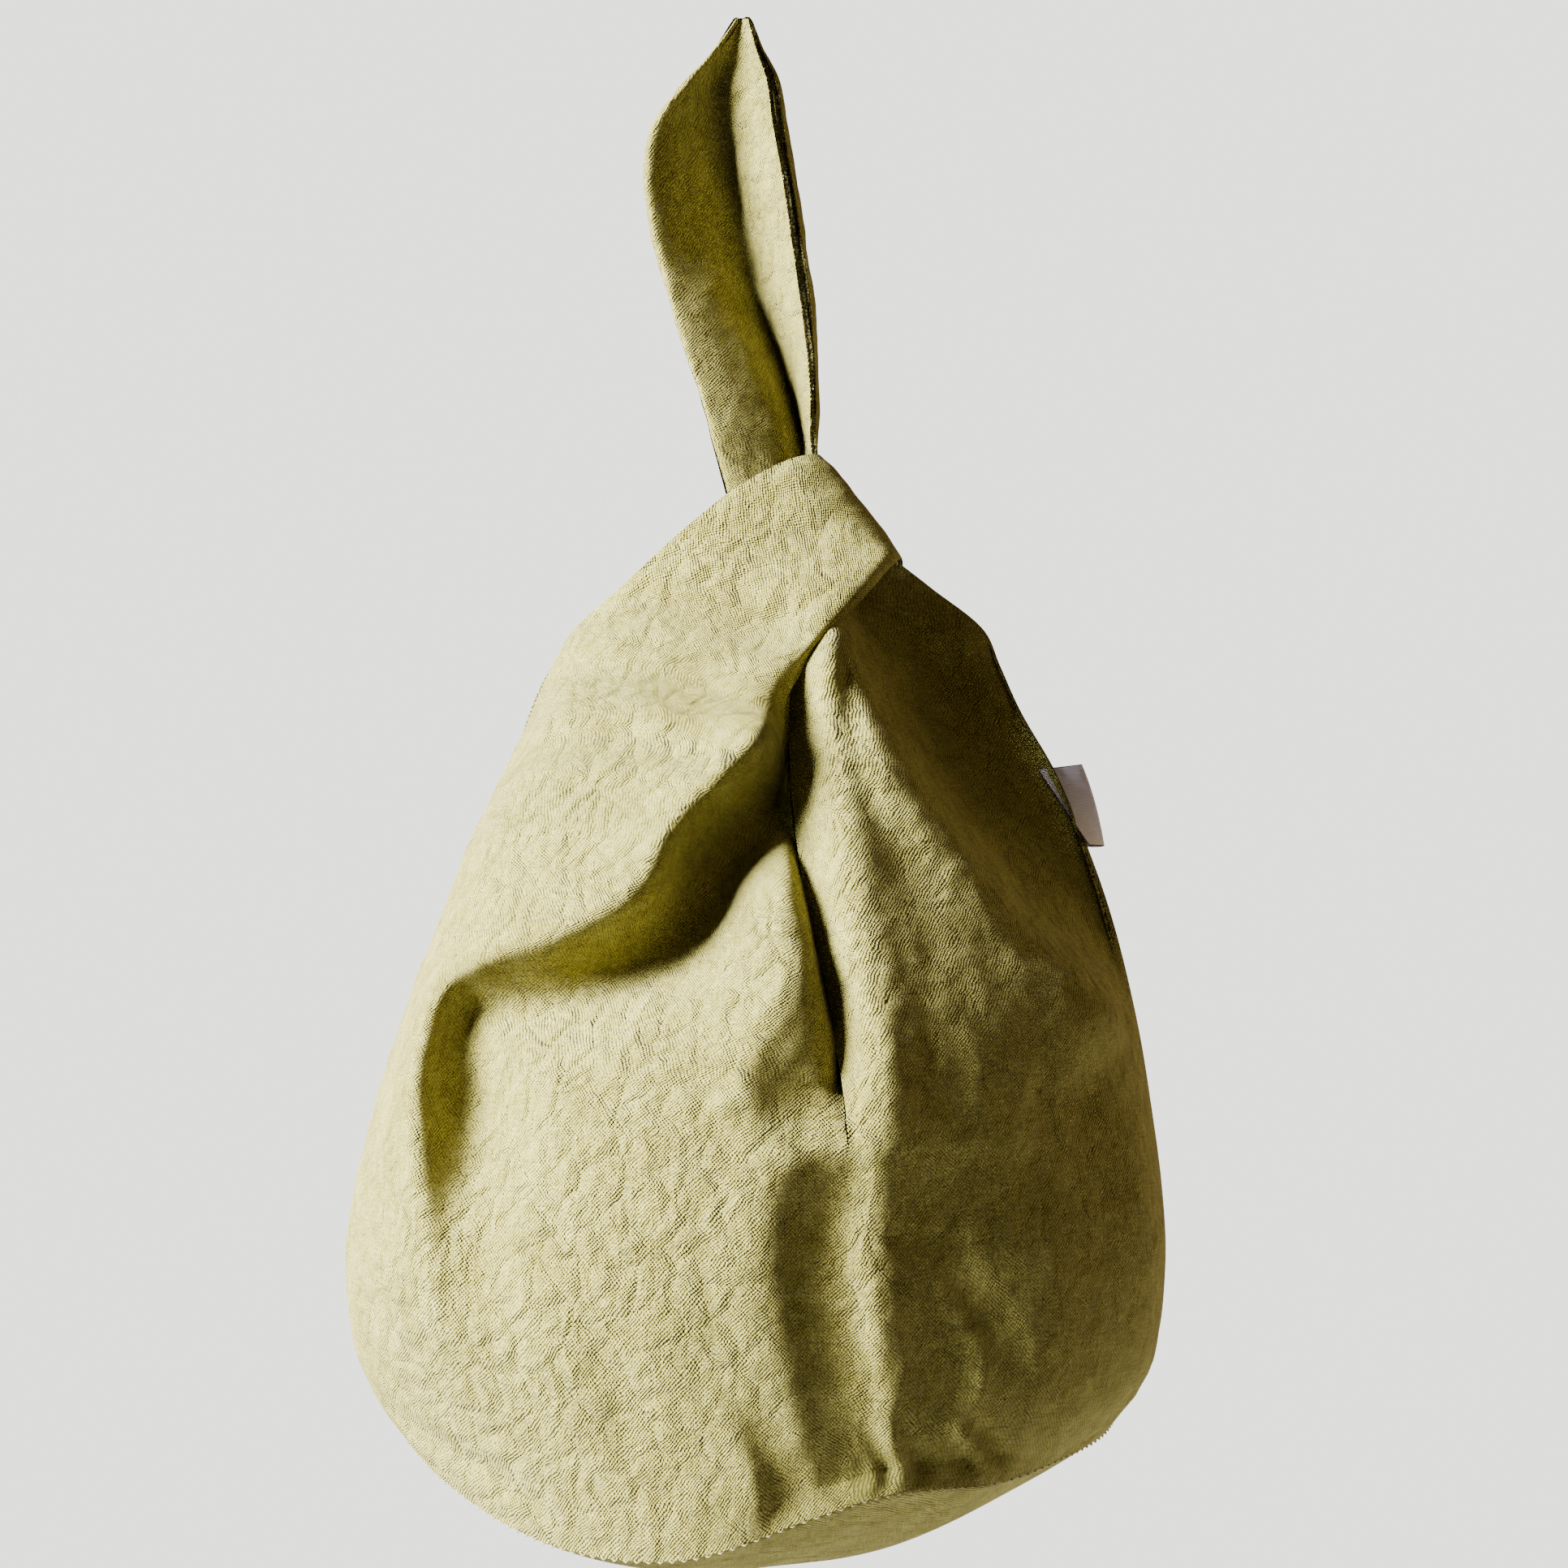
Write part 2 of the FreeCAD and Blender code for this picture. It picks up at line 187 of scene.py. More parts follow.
# The back long strap goes up behind and beside it, seen edge-on from the front
RIGHT_LEG = [
    [(25, 4, -124.5), (23, 6, -125), (20, 8, -125), (15, 9, -125), (9, 10, -125),
     (3, 10.5, -125.5), (2, 9, -126)],
    [(18.4, 1, -112), (18.8, 4, -112), (18.6, 7, -112), (17.6, 9, -112), (15.4, 11, -112),
     (12.6, 13, -112), (11.5, 12, -112)],
    [(18.6, -3, -98), (19, 1, -98), (19.1, 5, -98), (18.9, 8, -98), (18.3, 11, -98),
     (17.4, 14, -98), (17, 15, -98)],
    [(17.9, -5, -84), (18.3, -1, -84), (18.5, 3, -84), (18.5, 7, -84), (18.2, 11, -84),
     (17.5, 14.5, -84), (17.1, 15.5, -84)],
    [(16.8, -6, -70), (17.3, -2, -70), (17.6, 2.5, -70), (17.6, 7, -70), (17.2, 11, -70),
     (16.4, 15, -70), (16, 16, -70)],
    [(14.6, -6, -55), (15.2, -2, -55), (15.6, 2, -55), (15.6, 6.5, -55), (15.2, 11, -55),
     (14.4, 15, -55), (14, 16, -55)],
    [(12.6, -6, -42), (13.2, -2, -42), (13.6, 2, -42), (13.6, 6.5, -42), (13.2, 11, -42),
     (12.4, 14.5, -42), (12, 15.5, -42)],
    [(10.4, -5, -28), (11, -1.5, -28), (11.3, 2, -28), (11.3, 5.5, -28), (11, 9, -28),
     (10.4, 12.5, -28), (10, 13.5, -28)],
    [(8.8, -3.5, -16), (9.1, -1, -16), (9.2, 1.5, -16), (9.2, 4, -16), (9, 6.5, -16),
     (8.6, 9, -16), (8.4, 9.8, -16)],
    [(5, -1, -7), (5.1, 0.2, -7), (5.1, 1.4, -7), (5, 2.8, -7), (4.8, 4.4, -7),
     (4.5, 5.8, -7), (4.3, 6.4, -7)],
    [(2.1, 0, 0.9), (1.7, 0.5, 1.1), (1.3, 1, 1.2), (0.9, 1.6, 1.2), (0.6, 2.4, 1.1),
     (0.3, 3.4, 0.9), (0.2, 3.9, 0.7)],
]

# Folds pressed into the front. Each has a path down the cloth of (x, z, strength, share of the second
# profile), and one or two profiles of (distance to the right of the path, how far the cloth comes
# forward).
BAND_FOLD = (
    [(15, -170, 0, 0), (11.5, -177, 0.6, 0), (9.5, -184, 1.2, 0), (-1.8, -196.8, 1.55, 0),
     (-14.7, -211.8, 1.5, 0.1), (-21, -224, 1.3, 0.2), (-38.6, -234, 1.15, 0.45), (-57.1, -238.5, 1.05, 0.75),
     (-67, -243, 1.0, 0.9), (-71.5, -252, 1.0, 1), (-72.5, -266, 1.0, 1), (-71, -284, 0.75, 1),
     (-69, -300, 0.42, 1), (-66, -316, 0.22, 1), (-60, -340, 0, 1)],
    [(-26, 0), (-14, 1.5), (-6, 4), (-1.5, 5.2), (1, 3.8), (5, -4), (9, -11), (12.5, -14), (16, -12.5),
     (20.5, -7), (26, -3), (38, 0)],
    [(-24, 0), (-13, 2), (-4, 5.5), (-0.5, 6.2), (2, 4), (6, -5), (10, -11.5), (14, -13.5), (19, -11.5),
     (26, -7), (36, -2.8), (50, 0)],
)
SLOT_DENT = (
    [(19, -236, 0, 0), (10, -252, 0.7, 0), (3, -264, 1, 0), (4, -274, 1, 0), (11, -281, 0.9, 0),
     (20, -287, 0, 0)],
    [(-8, 0), (-3, 0.7), (0, 0.4), (4, -2), (9, -4.6), (16, -6.4), (26, -6), (34, 0)],
)
TENSION_FOLD = (
    [(22, -152, 0, 0), (25.5, -166, 0.7, 0), (32, -180, 1, 0), (38.5, -195, 1, 0), (50.5, -213, 1, 0),
     (61.6, -228, 1, 0), (73, -241, 0.8, 0), (86, -252, 0.4, 0), (98, -262, 0, 0)],
    [(-22, 0), (-10, 0.8), (-3, 2.2), (0, 2.2), (3, 0), (7, -4), (12, -5), (20, -3), (30, 0)],
)
PINCH_FOLD = (
    [(25, -280, 0, 0), (25, -287, 0.6, 0), (22.5, -297, 1.0, 0), (24, -312, 1.0, 0), (26.5, -326, 1.0, 0),
     (28.5, -338, 0.8, 0), (25, -350, 0.6, 0), (17, -362, 0, 0)],
    [(-28, 0), (-21, 0.8), (-15, 0), (-9, -3.6), (-3, -6), (1, -5.8), (4.5, -4), (8, -3.8), (13, -4.4),
     (20, -4.2), (32, -2.4), (46, 0)],
)
LOW_FOLDS = [
    PINCH_FOLD,
    ([(38, -300, 0, 0), (45, -312, 0.4, 0), (54, -328, 0.5, 0), (49, -342, 0.5, 0), (44, -352, 0, 0)],
     [(-8, 0), (-3, 1), (0, 1.4), (2.5, -0.8), (6, -1.6), (12, 0)]),
    ([(29, -336, 0, 0), (33, -344, 0.6, 0), (35, -350, 0.7, 0), (32, -358, 0, 0)],
     [(-5, 0), (-2, -1.8), (0, 1.4), (2, 1.8), (4, -1.4), (8, 0)]),
    ([(44, -338, 0, 0), (49, -344, 1, 0), (53, -350, 1, 0), (52, -356, 0, 0)],
     [(-5, 0), (-2, -1.0), (0, 0.9), (2, 1.0), (4, -0.8), (8, 0)]),
    ([(-4, -330, 0, 0), (2, -342, 0.5, 0), (5, -352, 0.6, 0), (5, -362, 0.6, 0), (4, -370, 0, 0)],
     [(-8, 0), (-3, 1.2), (0, 1.6), (3, -1.6), (7, -2), (12, 0)]),
    ([(-98, -330, 0, 0), (-86, -338, 1, 0), (-70, -346, 1, 0), (-52, -353, 0.8, 0), (-36, -361, 0, 0)],
     [(-9, 0), (-4, 0.8), (0, -2.2), (2, -2.4), (5, 0.6), (9, 0)]),
    ([(-50, -300, 0, 0), (-40, -318, 0.7, 0), (-30, -334, 0.8, 0), (-24, -352, 0, 0)],
     [(-14, 0), (-5, 0.9), (0, 0.9), (6, -1), (14, 0)]),
]


# ------------------------------------------------------------------ curves and surfaces

def hermite(knots, values, at):
    """A smooth curve through values at knots, read at the places at."""
    knots = np.asarray(knots, float)
    values = np.asarray(values, float)
    slope = np.gradient(values, knots, axis=0)
    k = np.clip(np.searchsorted(knots, at, side="right") - 1, 0, len(knots) - 2)
    step = knots[k + 1] - knots[k]
    t = (at - knots[k]) / step
    shape = (-1,) + (1,) * (values.ndim - 1)
    t, step = t.reshape(shape), step.reshape(shape)
    h00 = 2 * t**3 - 3 * t**2 + 1
    h10 = t**3 - 2 * t**2 + t
    h01 = 3 * t**2 - 2 * t**3
    h11 = t**3 - t**2
    return h00 * values[k] + h10 * step * slope[k] + h01 * values[k + 1] + h11 * step * slope[k + 1]


def chord_knots(line):
    """Distances along a line of points."""
    return np.concatenate([[0.0], np.cumsum(np.linalg.norm(np.diff(line, axis=0), axis=1))])


def unit(vectors):
    """Vectors made one long."""
    return vectors / np.maximum(np.linalg.norm(vectors, axis=-1, keepdims=True), 1e-9)


def surface(net, high_rows, close):
    """A grid over a net: LOW_ROWS up to the slot's bottom, then high_rows above it.

    The neckline edge beside the slot is moved across by close.
    """
    net = np.asarray(net, float)
    knots = chord_knots(net[:, -1])
    net = net.copy()
    for number, share in enumerate(CLOSED_ROWS):
        net[number, :, 0] += close * share * np.array(CLOSED_COLUMNS)
    bend = knots[SLOT_ROW]
    low = np.linspace(0, bend, LOW_ROWS)
    high = np.linspace(bend, knots[-1], high_rows + 1)[1:]
    columns = hermite(knots, net, np.concatenate([low, high])).transpose(1, 0, 2)
    knots = np.linalg.norm(np.diff(columns, axis=0), axis=2).mean(axis=1)
    knots = np.concatenate([[0.0], np.cumsum(knots)])
    grid = hermite(knots, columns, np.linspace(0, knots[-1], ACROSS))
    return grid.transpose(1, 0, 2)


def grid_normals(grid):
    """A normal at every point of a grid."""
    up = np.gradient(grid, axis=0)
    side = np.gradient(grid, axis=1)
    return unit(np.cross(side, up))


def profile_height(profile, offset):
    """A fold's profile, read at each distance from its path."""
    profile = np.asarray(profile, float)
    at = np.linspace(profile[0, 0], profile[-1, 0], PROFILE_STEPS)
    return np.interp(offset, at, hermite(profile[:, 0], profile[:, 1], at), left=0, right=0)


def fold_height(points, path, *profiles):
    """How far one fold brings each (x, z) point forward."""
    path = np.asarray(path, float)
    knots = chord_knots(path[:, :2])
    line = hermite(knots, path, np.linspace(0, knots[-1], PATH_STEPS))
    nearest = np.full(points.shape[:-1], 1e9)
    offset = np.zeros_like(nearest)
    strength = np.zeros_like(nearest)
    second = np.zeros_like(nearest)
    for a, b in zip(line[:-1], line[1:]):
        d = b[:2] - a[:2]
        t = np.clip(((points - a[:2]) @ d) / (d @ d), 0, 1)
        off = points - (a[:2] + t[..., None] * d)
        far = np.linalg.norm(off, axis=-1)
        nearer = far < nearest
        side = np.sign(d[0] * off[..., 1] - d[1] * off[..., 0])
        nearest = np.where(nearer, far, nearest)
        offset = np.where(nearer, far * side, offset)
        strength = np.where(nearer, a[2] + (b[2] - a[2]) * t, strength)
        second = np.where(nearer, a[3] + (b[3] - a[3]) * t, second)
    lift = profile_height(profiles[0], offset) * (1 - second) + profile_height(profiles[-1], offset) * second
    return lift * np.maximum(strength, 0)


def seam_hold(grid):
    """0 at the side seam or armhole edge and at the base seam, 1 a little way in."""
    across = np.clip(np.arange(grid.shape[1]) / HOLD_COLUMNS, 0, 1)
    up = np.clip(np.arange(grid.shape[0]) / HOLD_ROWS, 0, 1)
    return up[:, None] * across[None, :]


def press_folds(grid, folds):
    """The grid with folds pressed into it. They move the cloth only towards or away from the viewer."""
    lift = np.zeros(grid.shape[:2])
    for fold in folds:
        lift += fold_height(grid[..., [0, 2]], *fold)
    pressed = grid.copy()
    pressed[..., 1] -= lift * seam_hold(grid)
    return pressed


def crinkle(grid, outward, size, amount, seed):
    """Soft uneven creases of a size, as linen keeps after washing."""
    shift = Vector((seed * 7.3, seed * 3.1, seed * 5.7))
    lift = np.empty(grid.shape[:2])
    for i in range(grid.shape[0]):
        for j in range(grid.shape[1]):
            at = Vector(grid[i, j]) / size + shift
            ridge = 1.0 - abs(noise.noise(at)) * 2.0
            lift[i, j] = ridge + 0.5 * noise.noise(at * 2.3)
    return grid + outward * (lift * amount * seam_hold(grid))[..., None]


# ------------------------------------------------------------------ meshes

def mesh_object(name, points, faces, uvs=None):
    """A smooth mesh in the scene, from points in metres."""
    mesh = bpy.data.meshes.new(name)
    mesh.from_pydata([tuple(p) for p in points], [], faces)
    if uvs is not None:
        layer = mesh.uv_layers.new(name="cloth")
        corners = np.empty(len(mesh.loops), int)
        mesh.loops.foreach_get("vertex_index", corners)
        layer.data.foreach_set("uv", np.asarray(uvs)[corners].ravel())
    mesh.update()
    obj = bpy.data.objects.new(name, mesh)
    bpy.context.scene.collection.objects.link(obj)
    for face in mesh.polygons:
        face.use_smooth = True
    return obj


def outline(rows, columns):
    """The (row, column) places once around a grid's edge."""
    rim = [(i, 0) for i in range(rows)]
    rim += [(rows - 1, j) for j in range(1, columns)]
    rim += [(i, columns - 1) for i in range(rows - 2, -1, -1)]
    rim += [(0, j) for j in range(columns - 2, 0, -1)]
    return rim


def rounded_lip(grid, outward, rim, thickness):
    """The crest of the cloth's turned edge all the way round, and its normals."""
    rows, columns = grid.shape[:2]
    crest, normals = [], []
    for i, j in rim:
        inside = grid[min(max(i, 1), rows - 2), min(max(j, 1), columns - 2)]
        away = unit(grid[i, j] - inside)
        away = unit(away - outward[i, j] * (away @ outward[i, j]))
        crest.append(grid[i, j] - outward[i, j] * thickness / 2 + away * thickness / 2)
        normals.append(away)
    return np.array(crest), np.array(normals)


def unrolled(grid):
    """Where each point of a grid lies on its cloth, measured from the last column and the first row."""
    rows, columns = grid.shape[:2]
    up = np.linalg.norm(np.diff(grid, axis=0), axis=2).mean(axis=1)
    up = np.concatenate([[0.0], np.cumsum(up)])
    across = np.linalg.norm(np.diff(grid, axis=1), axis=2)
    side = np.concatenate([np.zeros((rows, 1)), np.cumsum(across, axis=1)], axis=1)
    side -= side[:, -1:]
    return np.stack([side, np.repeat(up[:, None], columns, axis=1)], axis=2)


def shell_faces(rows, columns, rim):
    """Faces of the outer grid, of the inner grid behind it and of the lip that joins them."""
    half = rows * columns
    faces = []
    for i in range(rows - 1):
        for j in range(columns - 1):
            a = i * columns + j
            b, c, d = a + 1, a + columns + 1, a + columns
            faces.append((a, b, c, d))
            faces.append((a + half, d + half, c + half, b + half))
    for k in range(len(rim)):
        follow = (k + 1) % len(rim)
        a, b = (i * columns + j for i, j in (rim[k], rim[follow]))
        c, d = 2 * half + k, 2 * half + follow
        faces.append((b, a, c, d))
        faces.append((d, c, a + half, b + half))
    return faces


def cloth_shell(name, grid, outward, material, thickness=CLOTH, cut_flat=False):
    """A cloth with its lining: the outer grid, an inner grid behind it, and turned edges between.

    The weave follows the grid, or runs straight across a piece that was cut and stays flat.
    """
    if (grid_normals(grid) * outward).sum() < 0:
        grid, outward = grid[:, ::-1], outward[:, ::-1]
    rows, columns = grid.shape[:2]
    rim = outline(rows, columns)
    crest, crest_normals = rounded_lip(grid, outward, rim, thickness)
    inner = grid - outward * thickness
    points = np.concatenate([grid.reshape(-1, 3), inner.reshape(-1, 3), crest]) * MM
    normals = np.concatenate([outward.reshape(-1, 3), -outward.reshape(-1, 3), crest_normals])
    weave = grid[..., :2] if cut_flat else unrolled(grid)
    edge = np.array([weave[i, j] for i, j in rim])
    weave = weave.reshape(-1, 2)
    uvs = np.concatenate([weave, weave, edge]) * UV_PER_MM
    obj = mesh_object(name, points, shell_faces(rows, columns, rim), uvs)
    obj.data.normals_split_custom_set_from_vertices([tuple(n) for n in normals])
    obj.data.materials.append(material)
    return obj


def stitches(name, line, outward, length, radius, material):
    """A row of short thread stitches along a line. Their ends dip into the cloth."""
    knots = chord_knots(line)
    points, faces = [], []
    for start in np.arange(0.5, knots[-1] - length, length + STITCH_GAP):
        at = np.array([start, start + length / 2, start + length])
        away = hermite(knots, outward, at)
        thread_line = hermite(knots, line, at) - away * np.array([[0.5], [-0.1], [0.5]])
        along = unit(thread_line[-1] - thread_line[0])
        side = unit(np.cross(along, away[1]))
        base = len(points)
        for middle, share in zip(thread_line, (0.7, 1.0, 0.7)):
            for turn in range(STITCH_SIDES):
                angle = turn * 2 * math.pi / STITCH_SIDES
                ring = side * math.cos(angle) + away[1] * math.sin(angle)
                points.append(middle + ring * (radius * share))
        for ring in range(2):
            for turn in range(STITCH_SIDES):
                a = base + ring * STITCH_SIDES + turn
                b = base + ring * STITCH_SIDES + (turn + 1) % STITCH_SIDES
                faces.append((a, b, b + STITCH_SIDES, a + STITCH_SIDES))
        faces.append(tuple(base + turn for turn in reversed(range(STITCH_SIDES))))
        faces.append(tuple(base + 2 * STITCH_SIDES + turn for turn in range(STITCH_SIDES)))
    obj = mesh_object(name, np.array(points) * MM, faces)
    obj.data.materials.append(material)
    return obj


# ------------------------------------------------------------------ material helpers

def new_material(name):
    """A material, its node tree and its surface shader."""
    material = bpy.data.materials.new(name)
    material.use_nodes = True
    return material, material.node_tree, material.node_tree.nodes["Principled BSDF"]


def feed(tree, node, inputs):
    """Sets a node's inputs to values, or links them to other nodes' outputs."""
    for name, value in inputs.items():
        if isinstance(value, bpy.types.NodeSocket):
            tree.links.new(value, node.inputs[name])
        else:
            node.inputs[name].default_value = value


def add_node(tree, kind, inputs, **settings):
    node = tree.nodes.new(kind)
    for name, value in settings.items():
        setattr(node, name, value)
    feed(tree, node, inputs)
    return node


def combine(tree, operation, a, b=None):
    """A sum on one or two values."""
    inputs = {0: a} if b is None else {0: a, 1: b}
    return add_node(tree, "ShaderNodeMath", inputs, operation=operation).outputs[0]


def weighted_sum(tree, *parts):
    """Adds up (value, share) pairs, each value times its share."""
    total = None
    for value, share in parts:
        part = combine(tree, "MULTIPLY", value, share)
        total = part if total is None else combine(tree, "ADD", total, part)
    return total


def noise_node(tree, place, scale, detail, rough=0.5, kind="FBM"):
    inputs = {"Vector": place, "Scale": scale, "Detail": detail, "Roughness": rough}
    return add_node(tree, "ShaderNodeTexNoise", inputs, noise_type=kind)


def stretched_noise(tree, place, across, up, detail, rough):
    """Noise with its own scale across and up the cloth."""
    mapping = add_node(tree, "ShaderNodeMapping", {"Vector": place, "Scale": (across, up, 1.0)})
    return noise_node(tree, mapping.outputs[0], 1.0, detail, rough).outputs["Fac"]


def wandering(tree, place, scale, reach):
    """A place moved about by noise, by up to reach."""
    drift = noise_node(tree, place, scale, 2.0).outputs["Color"]
    moved = add_node(tree, "ShaderNodeVectorMath", {0: drift, 1: reach, 2: place}, operation="MULTIPLY_ADD")
    return moved.outputs[0]


def colour_ramp(tree, value, stops):
    """A ramp through (position, colour) stops."""
    node = add_node(tree, "ShaderNodeValToRGB", {0: value})
    elements = node.color_ramp.elements
    for element, (position, colour) in zip((elements[0], elements[1]), (stops[0], stops[-1])):
        element.position = position
        element.color = (*colour, 1)
    for position, colour in stops[1:-1]:
        elements.new(position).color = (*colour, 1)
    return node.outputs[0]


def bump_node(tree, height, strength, distance, **more):
    inputs = {"Height": height, "Strength": strength, "Distance": distance, **more}
    return add_node(tree, "ShaderNodeBump", inputs).outputs[0]


# ------------------------------------------------------------------ materials

def plain_weave(tree, place):
    """Warp and weft crossing, with threads that wander a little. One repeat is two threads wide."""
    uneven = wandering(tree, place, 26.0, (0.016, 0.016, 0.0))
    split = add_node(tree, "ShaderNodeSeparateXYZ", {0: uneven})
    threads = 2 * math.pi / (WEAVE_REPEAT * UV_PER_MM)
    warp, weft = (
        combine(tree, "SINE", combine(tree, "MULTIPLY", split.outputs[axis], threads)) for axis in (0, 1)
    )
    return combine(tree, "MULTIPLY", warp, weft)


def dyed_colour(tree, place, slubs, weave, light, middle, dark):
    """Uneven dye over the threads, with a few dark flecks of husk."""
    patches = noise_node(tree, place, 9.0, 6, 0.65).outputs["Fac"]
    tone = weighted_sum(tree, (slubs, 0.46), (patches, 0.42), (weave, 0.13))
    dye = colour_ramp(tree, tone, [(0.52, dark), (0.66, middle), (0.80, light)])
    flecks = stretched_noise(tree, place, 80, 40, 1, 0.4)
    spots = add_node(tree, "ShaderNodeMapRange", {"Value": flecks, "From Min": 0.76, "From Max": 0.80})
    inputs = {"Factor": spots.outputs[0], "A": dye, "B": (0.10, 0.07, 0.02, 1)}
    return add_node(tree, "ShaderNodeMix", inputs, data_type="RGBA").outputs["Result"]


def washed_creases(tree):
    """Small creases from washing: large cells, ridges and a fine crumple together."""
    space = add_node(tree, "ShaderNodeTexCoord", {}).outputs["Object"]
    sized = add_node(tree, "ShaderNodeVectorMath", {0: space, "Scale": 10.0}, operation="SCALE").outputs[0]
    place = wandering(tree, sized, 5.0, (0.12, 0.12, 0.12))
    inputs = {"Vector": place, "Scale": 12.0}
    cells = add_node(tree, "ShaderNodeTexVoronoi", inputs, feature="DISTANCE_TO_EDGE")
    edges = add_node(tree, "ShaderNodeMapRange", {"Value": cells.outputs["Distance"], "From Max": 0.22})
    ridges = noise_node(tree, place, 13.0, 6.0, 0.6, "RIDGED_MULTIFRACTAL").outputs["Fac"]
    crumple = noise_node(tree, place, 26.0, 6.0).outputs["Fac"]
    height = weighted_sum(tree, (edges.outputs[0], 0.22), (ridges, 0.6), (crumple, 0.7))
    return bump_node(tree, height, 0.75, 0.0046)


def cloth_material(name, light, middle, dark):
    """Linen and cotton plain weave: thread bumps, thick threads, flecks and uneven dye."""
    material, tree, skin = new_material(name)
    place = add_node(tree, "ShaderNodeUVMap", {}, uv_map="cloth").outputs["UV"]
    weave = plain_weave(tree, place)
    slub_up = stretched_noise(tree, place, 240, 22, 3, 0.6)
    slub_across = stretched_noise(tree, place, 22, 240, 3, 0.6)
    slubs = combine(tree, "ADD", slub_up, slub_across)
    roughness = add_node(tree, "ShaderNodeMapRange", {"Value": slubs, "To Min": 0.78, "To Max": 0.95})
    threads = weighted_sum(tree, (weave, 0.7), (slubs, 1.0))
    feed(tree, skin, {
        "Base Color": dyed_colour(tree, place, slubs, weave, light, middle, dark),
        "Roughness": roughness.outputs[0],
        "Specular IOR Level": 0.2,
        "Sheen Weight": 0.08,
        "Sheen Roughness": 0.5,
        "Normal": bump_node(tree, threads, 0.9, 0.00035, Normal=washed_creases(tree)),
    })
    return material


def ribbon_material():
    """The blank label: a fine woven ribbon, a little uneven."""
    material, tree, skin = new_material("label_ribbon")
    place = add_node(tree, "ShaderNodeTexCoord", {}).outputs["Object"]
    inputs = {"Vector": place, "Scale": 900.0, "Distortion": 0.6}
    lines = add_node(tree, "ShaderNodeTexWave", inputs, bands_direction="Z").outputs["Fac"]
    stain = add_node(tree, "ShaderNodeTexNoise", {"Vector": place, "Scale": 160.0}).outputs["Fac"]
    tone = weighted_sum(tree, (lines, 0.4), (stain, 1.0))
    feed(tree, skin, {
        "Base Color": colour_ramp(tree, tone, [(0, (0.40, 0.37, 0.48)), (1, (0.66, 0.62, 0.75))]),
        "Roughness": 0.8,
        "Normal": bump_node(tree, lines, 0.4, 0.0002),
    })
    return material


def thread_material():
    """Sewing thread: a twist along its length."""
    material, tree, skin = new_material("sewing_thread")
    place = add_node(tree, "ShaderNodeTexCoord", {}).outputs["Object"]
    inputs = {"Vector": place, "Scale": 1500.0}
    twist = add_node(tree, "ShaderNodeTexWave", inputs, bands_direction="DIAGONAL").outputs["Fac"]
    colour = colour_ramp(tree, twist, [(0, (0.16, 0.13, 0.04)), (1, (0.40, 0.36, 0.15))])
    feed(tree, skin, {"Base Color": colour, "Roughness": 0.7})
    return material


# ------------------------------------------------------------------ the bag's pieces

def mirrored(net):
    """The same net at the back of the bag."""
    return [[(x, -y, z) for x, y, z in row] for row in net]


def share_centre(left, right):
    """Makes two quarters' grids, or their normals, the same along their centre line below the slot."""
    middle = (left[:LOW_ROWS, -1] + right[:LOW_ROWS, -1]) / 2
    left[:LOW_ROWS, -1] = middle
    right[:LOW_ROWS, -1] = middle


def outward_normals(grids, flips):
    """Normals that point out of the bag. A flip of -1 turns a quarter's own normals round."""
    outward = [grid_normals(grid) * flip for grid, flip in zip(grids, flips)]
    share_centre(*outward)
    return [unit(o) for o in outward]


def tuck(grid, outward):
    """Adds the turned-in edges at the base seam and the side seam."""
    low = grid[:1] - outward[:1] * SEAM_DEPTH + [0, 0, 0.5]
    grid = np.concatenate([low, grid])
    outward = np.concatenate([outward[:1], outward])
    joined_rows = np.clip((-SEAM_TOP - grid[:, :1, 2:]) / SEAM_START, 0, 1)
    side = grid[:, :1] - outward[:, :1] * (EDGE_TURN + (SEAM_DEPTH - EDGE_TURN) * joined_rows)
    return np.concatenate([side, grid], axis=1), np.concatenate([outward[:, :1], outward], axis=1)


def pair(names, nets, closes, folds, flips, material, seed):
    """The left and right quarters of the front or of the back, meeting below the slot.

    It returns the two pieces and their grids, which the base and the threads follow.
    """
    grids = [surface(net, rows, close) for net, rows, close in zip(nets, HIGH_ROWS, closes)]
    share_centre(*grids)
    outward = outward_normals(grids, flips)
    for k in range(2):
        grids[k] = press_folds(grids[k], folds[k])
        for size, amount, shift in CREASES:
            grids[k] = crinkle(grids[k], outward[k], size, amount, seed + shift)
    outward = outward_normals(grids, flips)
    shells = [cloth_shell(names[k], *tuck(grids[k], outward[k]), material) for k in range(2)]
    return shells, grids


def base_rim(front, back):
    """The closed line of the base seam, from the lowest rows of the four quarters."""
    front_left, front_right = front
    back_left, back_right = back
    return np.concatenate([
        front_left[0],
        front_right[0, ::-1][1:],
        back_right[0][1:],
        back_left[0, ::-1][1:-1],
    ])


def base_panel(rim, material):
    """The round base. It is domed down inside its seam, less so at the right, where it is drawn up."""
    right = np.clip((rim[:, 0] - 35) / 50, 0, 1)
    dome = BASE_DOME - right * right * (3 - 2 * right)
    rings = []
    for t in np.linspace(0.002, 1, BASE_RINGS):
        ring = BASE_MIDDLE + (rim - BASE_MIDDLE) * t
        ring[:, 2] = BASE_MIDDLE[2] + (rim[:, 2] - BASE_MIDDLE[2]) * t**dome
        rings.append(ring)
    tucked = rings[-1] * [0.985, 0.98, 1] + [0, 0, SEAM_DEPTH]
    grid = np.array(rings + [tucked])
    grid = np.concatenate([grid, grid[:, :1]], axis=1)
    outward = grid_normals(grid)
    if outward[..., 2].mean() > 0:
        outward = -outward
    return cloth_shell("base_panel_cloth", grid, outward, material, cut_flat=True)


